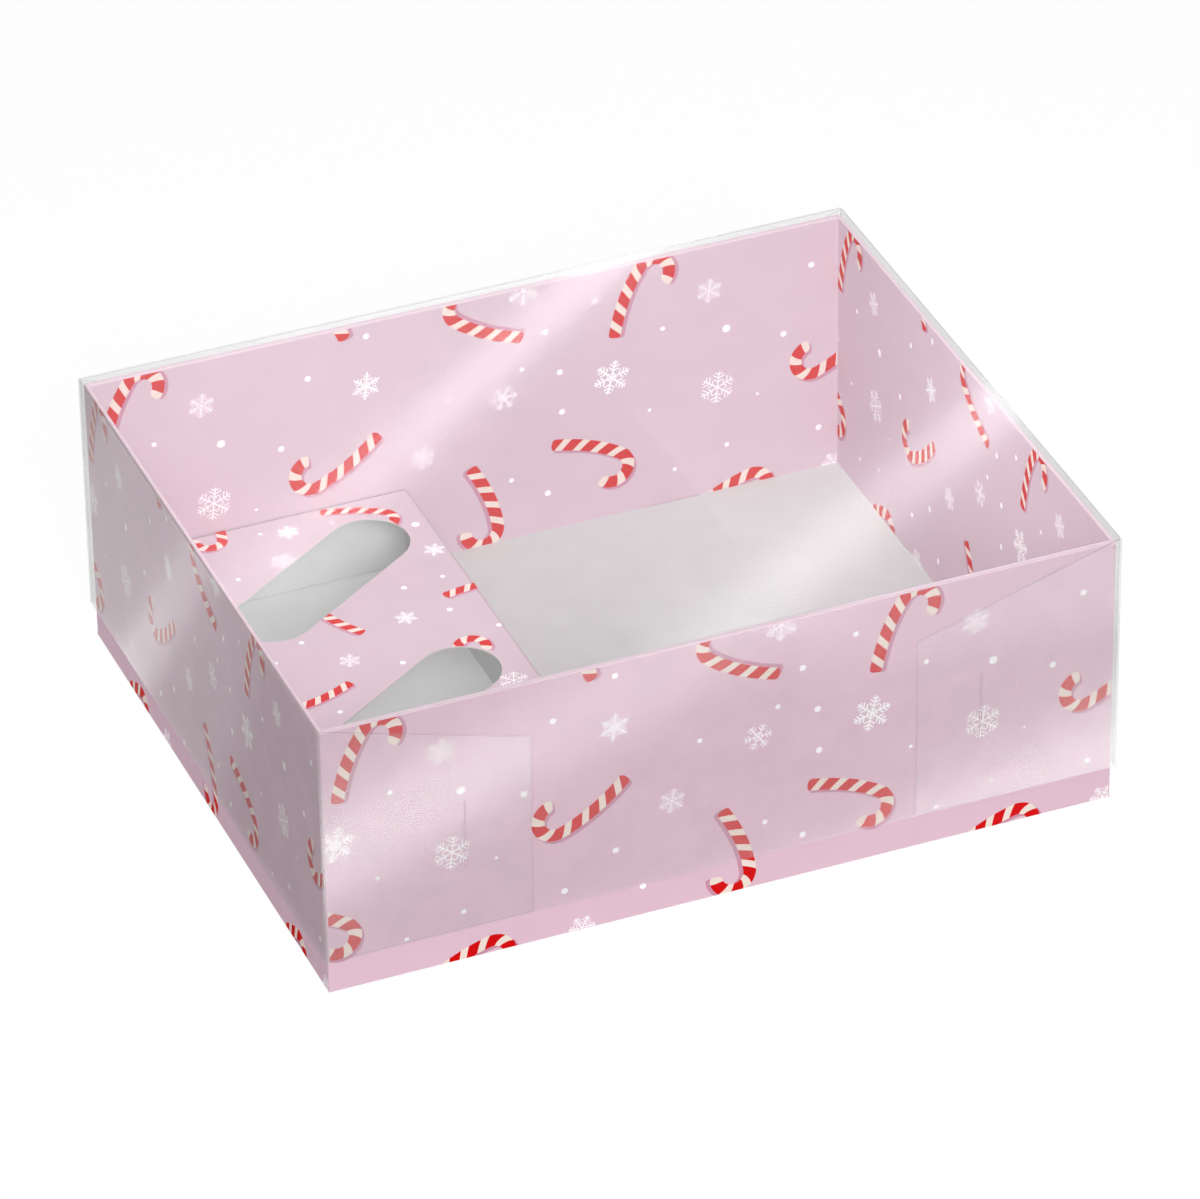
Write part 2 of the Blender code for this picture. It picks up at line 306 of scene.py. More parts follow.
class FilmLook(bpy.types.PropertyGroup):
    """Finish of the frosted film, with painted shade on its top and cut edges, painted light on its flaps and
    a painted highlight along its creases, and the radius of its creases.
    """

    tint: colour("Film tint", "What the clear film passes", "#FFFFFF")
    veil: colour("Frost", "Light that the frosted film scatters", "#B3B3B4")
    # Painted light: the flaps are the same film as the panels, given a paler veil at half the sides' share, so
    # that they show lighter
    flap_veil_painted_light: colour("Flap frost", "Light that the pressed corner flaps scatter", "#D6D8D7")
    # Painted shade: the cut edges' darker grey stands for the dark line that a film's edge shows seen edge-on
    edge: colour("Cut edge", "Light that a cut edge of the film scatters", "#7E7E82")
    side_frost: share("Side frost", "Share that each face of the side panels scatters", 0.10)
    # Painted shade: the top is the same film as the sides, but scatters less than half as much, so its veil
    # stays dim where more light falls on it
    top_frost_shaded: share("Top frost", "Share that each face of the top scatters", 0.045)
    flap_frost: share("Flap frost share", "Share that each face of a corner flap scatters", 0.05)
    edge_shade_share: share("Edge frost", "Share that a cut edge scatters", 0.4)
    # Partly stress whitening and partly a painted highlight: the creases scatter more, in white
    crease_whitening_and_highlight: share("Crease whitening", "Extra share that a crease scatters", 0.10)
    gloss: share("Gloss", "Share of a clear film's mirror gloss that the matt film keeps", 0.26)
    roughness: share("Gloss roughness", "Roughness of the film", 0.17)
    crease_radius: length("Crease radius", "Outer radius of the lid's creases", 0.6 * MM)


class StageLook(bpy.types.PropertyGroup):
    """Light and backdrop of the studio, and the place of the camera."""

    backdrop: colour("Backdrop", "Floor and background", "#FFFFFF")
    fill: FloatProperty(name="Fill light", description="Strength of the even light all round", default=0.53)
    key_power: power("Key light", "Power of the large light in front", 37.5)
    top_power: power("Top light", "Power of the light above the open box", 0.70)
    side_power: power("Side light", "Power of the light on the inner right wall", 0.15)
    back_power: power("Back light", "Power of the light on the inner back wall", 0.09)
    under_power: power("Under light", "Power of the light under the insert's platform", 0.010)
    inner_tint: colour("Inner tint", "Colour of the lights for the inside", "#FFFBFC")
    band_power: FloatProperty(name="Reflections", description="Strength of the film's lamps", default=3.85)
    azimuth: angle("Azimuth", "Camera round the box", -21.8103)
    elevation: angle("Elevation", "Camera above the table", 33.8311)
    roll: angle("Roll", "Camera's roll", -0.8464)
    distance: length("Distance", "From the middle of the box's foot to the camera", 2.3739)
    aim_right: length("Aim right", "How far the camera stands to the right of its axis", 1.3 * MM)
    aim_up: length("Aim up", "How far the camera stands above its axis", 33 * MM)
    lens: FloatProperty(name="Lens", description="Focal length in mm", default=246.09, unit="CAMERA")


# Meshes

def grid_quads(rows, columns, close_rows=False, close_columns=False):
    """Quads between neighbours on a grid that is numbered row by row, and may close on itself either way."""
    row = np.arange(rows if close_rows else rows - 1)
    column = np.arange(columns if close_columns else columns - 1)
    row, column = np.meshgrid(row, column, indexing="ij")
    here, after = row * columns, (row + 1) % rows * columns
    beside = (column + 1) % columns
    return np.stack([here + column, here + beside, after + beside, after + column], axis=-1).reshape(-1, 4)


def gather(parts):
    """Joins parts of points, faces and material numbers into one of each."""
    points, faces, numbers, start = [], [], [], 0
    for part_points, part_faces, number in parts:
        points.append(part_points)
        faces += [[start + corner for corner in face] for face in part_faces]
        numbers += list(number) if np.ndim(number) else [number] * len(part_faces)
        start += len(part_points)
    return np.concatenate(points), faces, numbers


def to_mesh(name, points, faces, numbers=None):
    """A mesh of points, faces and material numbers."""
    mesh = bpy.data.meshes.new(name)
    mesh.from_pydata(np.asarray(points, float).tolist(), [], [list(map(int, face)) for face in faces])
    if numbers is not None:
        mesh.polygons.foreach_set("material_index", np.asarray(numbers, np.int32))
    return mesh


def close_shells(mesh):
    """Merges doubles, which closes seams and drops folded faces, and turns every closed shell outwards."""
    bm = bmesh.new()
    bm.from_mesh(mesh)
    bmesh.ops.remove_doubles(bm, verts=bm.verts, dist=WELD)
    bmesh.ops.recalc_face_normals(bm, faces=bm.faces)
    bm.to_mesh(mesh)
    bm.free()


def new_object(name, data):
    """An object in the scene's own collection."""
    obj = bpy.data.objects.new(name, data)
    bpy.context.scene.collection.objects.link(obj)
    return obj


def place(name, mesh, body, materials, nodes=(), smooth=True):
    """Puts a finished mesh into the scene as a piece that rides on a body and may stand for CAD nodes."""
    obj = new_object(name, mesh)
    for material in materials:
        mesh.materials.append(material)
    if smooth:
        mesh.polygons.foreach_set("use_smooth", np.ones(len(mesh.polygons), bool))
        mesh.set_sharp_from_angle(angle=SHARP_ANGLE)
    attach(obj, body)
    if nodes:
        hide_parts(*nodes)
    return obj


def quarter():
    """Cosine and sine from 0 to 90 degrees."""
    turn = np.linspace(0, math.pi / 2, ARC_POINTS)
    return np.cos(turn), np.sin(turn)


def side_path(half_run, half_out, radius):
    """One side of a rounded rectangle, from the middle of one corner to the middle of the next.

    The corner is an arc of the radius, from 45 to 90 degrees off the side, and the side between two corners
    is straight. Sizes may be arrays, one entry for each ring. Gives places along and outwards, rings by
    stations.
    """
    run, out, radius = (np.atleast_1d(np.asarray(v, float))[:, None] for v in (half_run, half_out, radius))
    turn = np.linspace(math.pi / 4, 0, CORNER_POINTS)[None, :]
    along = run - radius + radius * np.sin(turn)
    outward = out - radius + radius * np.cos(turn)
    inner = np.minimum(run - radius, run * (1 - STRAIGHT_GAP)) * STRAIGHT_SHARE
    along = np.concatenate([-along, -inner, inner, along[:, ::-1]], axis=1)
    outward = np.concatenate([outward, out, out, outward[:, ::-1]], axis=1)
    return along, outward


def turned(along, outward, side):
    """Turns places along and outwards of the front side to side 0 front, 1 right, 2 back or 3 left."""
    turn = side * math.pi / 2
    x = along * math.cos(turn) + outward * math.sin(turn)
    y = along * math.sin(turn) - outward * math.cos(turn)
    return x, y


def ring_grid(half_x, half_y, radius, height):
    """Rounded rectangles one above another: their points by ring, and the quads between them.

    A ring runs along all four sides in turn, and closes on itself.
    """
    sides = []
    for side in range(4):
        run, out = (half_x, half_y) if side % 2 == 0 else (half_y, half_x)
        along, outward = side_path(run, out, radius)
        sides.append(turned(along[:, :-1], outward[:, :-1], side))
    x, y = (np.concatenate([way[i] for way in sides], axis=1) for i in (0, 1))
    z = np.broadcast_to(np.asarray(height, float)[:, None], x.shape)
    return np.stack([x, y, z], axis=-1), grid_quads(*x.shape, close_columns=True).tolist()


def rings_solid(half_x, half_y, radius, height):
    """A closed solid from rounded rectangles, one for each entry, with the first and the last filled in."""
    points, quads = ring_grid(half_x, half_y, radius, height)
    rows, columns, _ = points.shape
    number = np.arange(rows * columns).reshape(rows, columns)
    return points.reshape(-1, 3), quads + [number[0, ::-1].tolist(), number[-1].tolist()], 0


# Materials

MATT_VARNISH = 0.55


def add(tree, kind, inputs=None, **settings):
    """Adds a shader node. Settings are its own properties. Inputs are values, sockets or whole nodes."""
    node = tree.nodes.new("ShaderNode" + kind)
    for key, value in settings.items():
        setattr(node, key, value)
    for key, value in (inputs or {}).items():
        if isinstance(value, bpy.types.Node):
            value = value.outputs[0]
        if isinstance(value, bpy.types.NodeSocket):
            tree.links.new(value, node.inputs[key])
        else:
            node.inputs[key].default_value = value
    return node


def start_material(name):
    """An empty material, its node tree and its Object coordinates."""
    material = bpy.data.materials.new(name)
    material.use_nodes = True
    material.node_tree.nodes.clear()
    coords = add(material.node_tree, "TexCoord").outputs["Object"]
    return material, material.node_tree, coords


def noise(tree, coords, millimetres, detail=2.0):
    """A noise whose features are this many millimetres wide."""
    return add(tree, "TexNoise", {"Vector": coords, "Scale": 1000 / millimetres, "Detail": detail})


def spread(tree, value, low, high, to_low=0.0, to_high=1.0):
    """A value from low to high, spread over another range and held within it."""
    ends = {"Value": value, "From Min": low, "From Max": high, "To Min": to_low, "To Max": to_high}
    return add(tree, "MapRange", ends)


def scaled(base, factor):
    """A colour made darker or lighter by a factor."""
    return tuple(min(1, part * factor) for part in base[:3]) + (1.0,)


def mottled(tree, coords, base, amount=0.012):
    """A colour with slow, faint mottling, as ink and board have, lighter and darker by the amount.

    Real mottle is 1 to 5 mm wide. Its patches are drawn 9 mm wide here, so that they show at all.
    """
    even = spread(tree, noise(tree, coords, 9, 3.0), 0.35, 0.65)
    ends = {0: even, 6: scaled(base, 1 - amount), 7: scaled(base, 1 + amount)}
    return add(tree, "Mix", ends, data_type="RGBA").outputs[2]


def varnished(tree, coords, base, roughness=MATT_VARNISH):
    """Ends a tree with a matt dispersion varnish: a faint sheen, a little uneven where it was rolled on.

    Fibres under a varnish are 0.02 to 0.05 mm wide. They are drawn 0.6 mm wide here, so that they show at
    all.
    """
    rough = spread(tree, noise(tree, coords, 6, 1.0), 0.3, 0.7, roughness - 0.03, roughness + 0.03)
    fibre = noise(tree, coords, 0.6, 1.0)
    bump = add(tree, "Bump", {"Strength": 0.1, "Distance": 0.004 * MM, "Height": fibre})
    inputs = {"Base Color": base, "Roughness": rough, "Normal": bump, "Specular IOR Level": 0.012}
    shader = add(tree, "BsdfPrincipled", inputs)
    add(tree, "OutputMaterial", {"Surface": shader})


def raw_fibre(tree, coords, base):
    """Grey recycled back of carton board: dull, with darker tufts of fibre of about half a millimetre."""
    tufts = spread(tree, noise(tree, coords, 0.5, 4.0), 0.66, 0.74, to_high=0.35)
    ends = {0: tufts, 6: mottled(tree, coords, base, 0.02), 7: scaled(base, 0.75)}
    return add(tree, "Mix", ends, data_type="RGBA").outputs[2]


def within(tree, coords, half_x, half_y, middle_x=0.0):
    """1 inside a rectangle and 0 outside it, from how far a point lies across and along from its middle."""
    axes = add(tree, "SeparateXYZ", {0: coords}).outputs
    offset = add(tree, "Math", {0: axes[0], 1: middle_x}, operation="SUBTRACT")
    across = add(tree, "Math", {0: offset}, operation="ABSOLUTE")
    along = add(tree, "Math", {0: axes[1]}, operation="ABSOLUTE")
    near_x = add(tree, "Math", {0: across, 1: half_x}, operation="LESS_THAN")
    near_y = add(tree, "Math", {0: along, 1: half_y}, operation="LESS_THAN")
    return add(tree, "Math", {0: near_x, 1: near_y}, operation="MULTIPLY")


def printed_board():
    """Folding boxboard, offset printed and varnished: pink, paler inside, whitened where the roll cracked.

    The cracks' patches are 0.7 mm wide, and strongest on the crown of the rim.
    """
    look = bpy.context.scene.cake_box_board
    material, tree, coords = start_material("varnished_printed_boxboard")
    inside = within(tree, coords, HALF_X - SHORT_WALL / 2, HALF_Y - LONG_WALL / 2)
    outer = mottled(tree, coords, look.pink)
    lining = mottled(tree, coords, look.lining)
    ground = add(tree, "Mix", {0: inside, 6: outer, 7: lining}, data_type="RGBA").outputs[2]
    height = add(tree, "SeparateXYZ", {0: coords}).outputs[2]
    rim = spread(tree, height, TRAY_TOP - look.rim_radius, TRAY_TOP, to_high=0.25)
    worn = spread(tree, noise(tree, coords, 0.7), 0.35, 0.6, to_low=0.3)
    crack = add(tree, "Math", {0: rim, 1: worn}, operation="MULTIPLY")
    base = add(tree, "Mix", {0: crack, 6: ground, 7: look.worn}, data_type="RGBA")
    varnished(tree, coords, base.outputs[2])
    return material


def two_sided(tree, coords, unprinted, pink, roughness):
    """Ends a tree with board that is printed pink, and grey where a mask says that it is unprinted."""
    ground = mottled(tree, coords, pink)
    back = raw_fibre(tree, coords, bpy.context.scene.cake_box_board.bare)
    base = add(tree, "Mix", {0: unprinted, 6: ground, 7: back}, data_type="RGBA")
    varnished(tree, coords, base.outputs[2], roughness)


def base_board():
    """The same board lying print down: the floor is its grey back, and the print shows below and at edges."""
    material, tree, coords = start_material("grey_backed_boxboard")
    height = add(tree, "SeparateXYZ", {0: coords}).outputs[2]
    upper = add(tree, "Math", {0: height, 1: BOARD * 0.95}, operation="GREATER_THAN")
    two_sided(tree, coords, upper, bpy.context.scene.cake_box_board.pink, 0.7)
    return material


def insert_board():
    """Boxboard printed on its outer side: print above and round the sheet's middle, grey back inside it."""
    material, tree, coords = start_material("folded_insert_boxboard")
    middle = (TOP_LOW + TOP_HIGH) / 2
    half = (TOP_HIGH - TOP_LOW) / 2
    inner = within(tree, coords, half.x - BOARD / 2, half.y - BOARD / 2, middle.x)
    height = add(tree, "SeparateXYZ", {0: coords}).outputs[2]
    below = add(tree, "Math", {0: height, 1: TOP_HIGH.z - BOARD / 2}, operation="LESS_THAN")
    under = add(tree, "Math", {0: inner, 1: below}, operation="MULTIPLY")
    two_sided(tree, coords, under, bpy.context.scene.cake_box_board.insert, MATT_VARNISH)
    return material


def cut_edge():
    """Die-cut edge of the board: pale, dull core with torn fibres."""
    look = bpy.context.scene.cake_box_board
    material, tree, coords = start_material("die_cut_board_core")
    varnished(tree, coords, raw_fibre(tree, coords, look.core), 0.8)
    return material


def ink(name, base):
    """A process ink printed solid on the board, under the same varnish."""
    found = bpy.data.materials.get(name)
    if found:
        return found
    material, tree, coords = start_material(name)
    varnished(tree, coords, mottled(tree, coords, base, 0.02))
    return material


def inks():
    """The print's four inks, in the order of the motifs' material numbers."""
    look = bpy.context.scene.cake_box_print
    return [
        ink("red_process_ink", look.red),
        ink("cream_process_ink", look.cream),
        ink("mauve_process_ink", look.shadow),
        ink("opaque_white_ink", look.snow),
    ]


def near_edge(tree, value, limit):
    """1 from the limit outwards, falling to 0 over 0.4 mm inside it, on both sides of the middle."""
    size = add(tree, "Math", {0: value}, operation="ABSOLUTE")
    return spread(tree, size, limit - 0.4 * MM, limit)


def frosted_film(name, amount, haze, shade_cut_edges=False):
    """Calendered PP film with one matt face: clear, faintly veiled, softly glossy, whitened along creases,
    partly as stress whitening and partly as a painted highlight.

    Each sheet has two faces, so a face passes and scatters the root of what the sheet does. The gloss comes
    from Fresnel on the near face only, with an index a little above PP's 1.49, because it stands for both
    faces. The veil is cloudy in patches of 14 mm, as calendering leaves it. A corner flap, which stands along
    X, scatters more and in a darker grey where its normal leaves Y, which is on its cut edges: painted shade
    for the dark line that a cut edge of clear film shows seen edge-on.
    """
    look = bpy.context.scene.cake_box_film
    material, tree, coords = start_material(name)
    axes = add(tree, "SeparateXYZ", {0: coords}).outputs
    edge_x = near_edge(tree, axes[0], LID_HIGH.x - 0.3 * MM)
    edge_y = near_edge(tree, axes[1], LID_HIGH.y - 0.3 * MM)
    edge_z = near_edge(tree, axes[2], LID_HIGH.z - 0.5 * MM)
    low = add(tree, "Math", {0: edge_x, 1: edge_y}, operation="MINIMUM")
    high = add(tree, "Math", {0: edge_x, 1: edge_y}, operation="MAXIMUM")
    top = add(tree, "Math", {0: high, 1: edge_z}, operation="MINIMUM")
    crease = add(tree, "Math", {0: low, 1: top}, operation="MAXIMUM")
    frost = spread(tree, noise(tree, coords, 14), 0.35, 0.65, amount * 0.85, amount * 1.15)
    # Along the creases the veil scatters more: stress whitening, and a painted highlight for the light line a
    # crease catches
    veil = add(tree, "Math", {0: crease, 1: look.crease_whitening_and_highlight, 2: frost}, operation="MULTIPLY_ADD")
    tone = haze
    # Painted shade on the cut edges: more scatter, in a darker grey
    if shade_cut_edges:
        normal = add(tree, "TexCoord").outputs["Normal"]
        facing = add(tree, "SeparateXYZ", {0: normal}).outputs[1]
        size = add(tree, "Math", {0: facing}, operation="ABSOLUTE")
        cut = add(tree, "Math", {0: size, 1: 0.5}, operation="LESS_THAN")
        veil = add(tree, "Math", {0: cut, 1: look.edge_shade_share, 2: veil}, operation="MULTIPLY_ADD")
        tone = add(tree, "Mix", {0: cut, 6: tone, 7: look.edge}, data_type="RGBA").outputs[2]
    clear = add(tree, "BsdfTransparent", {"Color": look.tint})
    scatter = add(tree, "BsdfDiffuse", {"Color": tone})
    body = add(tree, "MixShader", {0: veil, 1: clear, 2: scatter})
    kept = (look.gloss, look.gloss, look.gloss, 1.0)
    gloss = add(tree, "BsdfGlossy", {"Color": kept, "Roughness": look.roughness})
    fresnel = add(tree, "Fresnel", {"IOR": 1.50})
    behind = add(tree, "NewGeometry").outputs["Backfacing"]
    front = add(tree, "Math", {0: 1.0, 1: behind}, operation="SUBTRACT")
    mirrored = add(tree, "Math", {0: fresnel, 1: front}, operation="MULTIPLY")
    surface = add(tree, "MixShader", {0: mirrored, 1: body, 2: gloss})
    shadow = add(tree, "LightPath").outputs["Is Shadow Ray"]
    passed = add(tree, "BsdfTransparent")
    lit = add(tree, "MixShader", {0: shadow, 1: surface, 2: passed})
    add(tree, "OutputMaterial", {"Surface": lit})
    return material


def shown(tree):
    """1 for a ray that shows the backdrop: the camera's own, a mirrored one or one passed by clear matter."""
    path = add(tree, "LightPath").outputs
    seen = add(tree, "Math", {0: path["Is Camera Ray"], 1: path["Is Glossy Ray"]}, operation="MAXIMUM")
    return add(tree, "Math", {0: seen, 1: path["Is Transmission Ray"]}, operation="MAXIMUM")


def coat_node(name, material):
    """Gives a CAD node that stays in view its material."""
    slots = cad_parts[name].data.materials
    slots.clear()
    slots.append(material)


# The candy cane print

def cane_line(scale):
    """Places and headings along a cane's middle, from its foot, which lies at the origin and heads along +X.

    The heading falls along the stem, slowly at first, as a power of the share of its length, and then evenly
    along the hook. Places are the running sums of its cosine and sine.
    """
    look = bpy.context.scene.cake_box_print
    stem, hook = look.stem_length * scale, look.hook_length * scale
    run = np.linspace(0, stem + hook, LINE_POINTS)
    heading = -STEM_BEND * np.clip(run / stem, 0, 1) ** STEM_EASE
    heading -= HOOK_BEND * np.clip((run - stem) / hook, 0, 1)
    step = run[1] - run[0]
    middle = (heading[1:] + heading[:-1]) / 2
    x = np.concatenate([[0], np.cumsum(np.cos(middle) * step)])
    y = np.concatenate([[0], np.cumsum(np.sin(middle) * step)])
    return run, x, y, heading


def ribbon(run, across, scale):
    """Points beside a cane's middle line: the place at each run, plus across times the normal to its heading.

    Both ends are rounded: within a corner radius of an end, across shrinks as a circle of that radius does.
    """
    look = bpy.context.scene.cake_box_print
    line, x, y, heading = cane_line(scale)
    half = look.cane_width * scale / 2
    corner = END_ROUNDING * half
    gap = np.clip(np.minimum(run, line[-1] - run), 0, corner)
    inset = corner - np.sqrt(corner ** 2 - (corner - gap) ** 2)
    across = across * (1 - inset / half)
    at_x, at_y, turn = (np.interp(run, line, values) for values in (x, y, heading))
    return np.stack([at_x - across * np.sin(turn), at_y + across * np.cos(turn)], axis=-1)


def cane(scale):
    """A striped cane as a grid whose rows slant with the stripes.

    A row lies at run + slant * across, held between the two ends. The slant's tangent fades along the cane as
    the third power of the share of its length. In each stripe's rows red comes first, then cream, and the
    first two rows are cut off.
    """
    look = bpy.context.scene.cake_box_print
    step = look.stripe_pitch * scale / STRIPE_ROWS
    total = (look.stem_length + look.hook_length) * scale
    half = look.cane_width * scale / 2
    spare = math.ceil(half * 0.6 / step)
    row = np.arange(-spare, math.ceil(total / step) + spare + 1)
    at = (row - 2) * step
    slant = math.tan(STRIPE_SLANT) * np.clip(SLANT_FADE - (at / total) ** 3, 0, 1)
    across = np.linspace(-half, half, CANE_COLUMNS)[None, :]
    run = np.clip(at[:, None] + slant[:, None] * across, 0, total)
    points = ribbon(run, np.broadcast_to(across, run.shape), scale).reshape(-1, 2)
    stripe = np.repeat(np.where(row[:-1] % STRIPE_ROWS < RED_ROWS, 0, 1), CANE_COLUMNS - 1)
    return points, grid_quads(len(row), CANE_COLUMNS), stripe


def cane_shadow(scale):
    """A plain ribbon along the whole cane, with closer rows at its rounded ends."""
    look = bpy.context.scene.cake_box_print
    total = (look.stem_length + look.hook_length) * scale
    half = look.cane_width * scale / 2
    ends = total * 0.02 * np.array([0, 0.15, 0.4, 0.7, 1.0])
    middle = np.linspace(total * 0.06, total * 0.94, 22)
    run = np.concatenate([ends, middle, total - ends[::-1]])
    run, across = np.meshgrid(run, np.array([-half, 0, half]), indexing="ij")
    points = ribbon(run, across, scale).reshape(-1, 2)
    return points, grid_quads(run.shape[0], 3), np.full((run.shape[0] - 1) * 2, 2)


def snowflake(width, kind, turn):
    """Six arms about a middle, as one outline, with a ring of bars between them on some.

    Half an arm runs from where two arms meet, along the edge of its bar, out and back along each barb at 60
    degrees, to the tip. It is mirrored, and the arm is turned by 60 degrees five times.
    """
    bar_share, barbs, ring = FLAKES[kind]
    radius = width / 2
    bar = bar_share * radius
    lean = complex(math.cos(SIXTH), math.sin(SIXTH))
    half_bar = bar / 2
    outline = [complex(half_bar / math.tan(SIXTH / 2), half_bar)]
    for distance, barb in barbs:
        foot = complex(distance * radius, half_bar)
        thick = bar * BARB_WIDTH / math.sin(SIXTH)
        outline += [foot, foot + lean * barb * radius, foot + thick + lean * barb * radius, foot + thick]
    outline += [complex(radius - half_bar, half_bar)]
    upper = np.array(outline)
    arm = np.concatenate([np.conj(upper), [radius + 0j], upper[::-1]])[:-1]
    spin = np.exp(1j * (np.arange(6) * SIXTH + math.radians(turn)))
    star = (spin[:, None] * arm[None, :]).reshape(-1)
    parts = [(star, [list(range(len(star)))], 3)]
    if ring:
        outer = complex(ring * radius, half_bar)
        inner = outer - bar * RING_WIDTH / math.sin(SIXTH)
        mirror = np.exp(1j * SIXTH)
        link = np.array([outer, mirror * np.conj(outer), mirror * np.conj(inner), inner])
        links = (spin[:, None] * link[None, :]).reshape(-1)
        parts.append((links, np.arange(24).reshape(6, 4), 3))
    return [(np.stack([p.real, p.imag], axis=-1), f, m) for p, f, m in parts]


def dot(radius):
    """A round dot: points at even angles on a circle."""
    turn = np.arange(DOT_SIDES) * 2 * math.pi / DOT_SIDES
    return np.stack([np.cos(turn), np.sin(turn)], axis=-1) * radius, [list(range(DOT_SIDES))], 3


def moved(part, offset, turn=0.0, squeeze=1.0):
    """A part's points turned, moved and squeezed across."""
    points, faces, numbers = part
    c, s = math.cos(turn), math.sin(turn)
    points = points @ np.array([[c, s], [-s, c]]) + np.array(offset)
    return points * np.array([squeeze, 1]), faces, numbers


def motif_layers(canes, flakes, dots, scale, squeeze=1.0):
    """The print's flat layers: mauve shadows, white snow and striped canes, each a list of parts."""
    away = bpy.context.scene.cake_box_print.shadow_offset * scale
    shade, stripe = cane_shadow(scale), cane(scale)
    shadows, snow, sticks = [], [], []
    for across, up, heading, side in canes:
        heading, side = math.radians(heading), math.radians(side)
        foot = (across * MM, up * MM)
        beside = (foot[0] + away * math.cos(side), foot[1] + away * math.sin(side))
        shadows.append(moved(shade, beside, heading, squeeze))
        sticks.append(moved(stripe, foot, heading, squeeze))
    for across, up, width, kind, turn in flakes:
        for part in snowflake(width * MM, kind, turn):
            snow.append(moved(part, (across * MM, up * MM), 0, squeeze))
    for across, up, radius in dots:
        snow.append(moved(dot(radius * MM), (across * MM, up * MM), 0, squeeze))
    return [shadows, snow, sticks]


def ink_layers(layers, width, height, to_face):
    """Flat motifs as one mesh for each layer, carried to their face by a matrix.

    A layer is cut at the four sides of the face, which runs from 0 to its width and height, and lifted by its
    share of the relief. Faces that look down are turned, so that all get their thickness on the same side.
    """
    relief = bpy.context.scene.cake_box_print.relief
    meshes = []
    for parts, level in zip(layers, LAYER_LEVELS):
        points, faces, numbers = gather(parts)
        mesh = to_mesh("layer", np.column_stack([points, np.zeros(len(points))]), faces, numbers)
        bm = bmesh.new()
        bm.from_mesh(mesh)
        bmesh.ops.remove_doubles(bm, verts=bm.verts, dist=WELD)
        for axis, far in enumerate((width, height)):
            for place_on_axis, way in ((0, -1), (far, 1)):
                geometry = bm.verts[:] + bm.edges[:] + bm.faces[:]
                point, normal = Vector(), Vector()
                point[axis], normal[axis] = place_on_axis, way
                bmesh.ops.bisect_plane(bm, geom=geometry, plane_co=point, plane_no=normal, clear_outer=True)
        bm.normal_update()
        bmesh.ops.reverse_faces(bm, faces=[face for face in bm.faces if face.normal.z < 0])
        bmesh.ops.translate(bm, vec=(0, 0, level * relief), verts=bm.verts)
        bmesh.ops.transform(bm, matrix=to_face, verts=bm.verts)
        bm.to_mesh(mesh)
        bm.free()
        meshes.append(mesh)
    return meshes


def joined(name, meshes):
    """One mesh made of several, which are used up."""
    whole = bmesh.new()
    for mesh in meshes:
        whole.from_mesh(mesh)
        bpy.data.meshes.remove(mesh)
    mesh = bpy.data.meshes.new(name)
    whole.to_mesh(mesh)
    whole.free()
    return mesh


def thicken(obj):
    """Gives flat ink its thickness, part of which lies in the board, so that nothing of it floats."""
    solid = obj.modifiers.new("ink", "SOLIDIFY")
    solid.thickness = bpy.context.scene.cake_box_print.relief * INK_THICKNESS
    solid.offset = -1


def inked(name, layers, body):
    """A print piece from its layers of flat motifs."""
    thicken(place(name, joined(name, layers), body, inks(), smooth=False))


def face_matrix(origin, across, up):
    """Carries a flat layout to a face: its corner, and the directions of across and up."""
    across, up = Vector(across), Vector(up)
    return Matrix.Translation(origin) @ Matrix((across, up, across.cross(up))).transposed().to_4x4()


def repeated(marks, margin):
    """Marks with their repeats to both sides, as far as a margin in mm past the art's ends."""
    copies = [(across + k * ART_REPEAT / MM, *rest) for k in (-1, 0, 1) for across, *rest in marks]
    return [mark for mark in copies if -margin < mark[0] < ART_WIDTH / MM + margin]


# Pieces

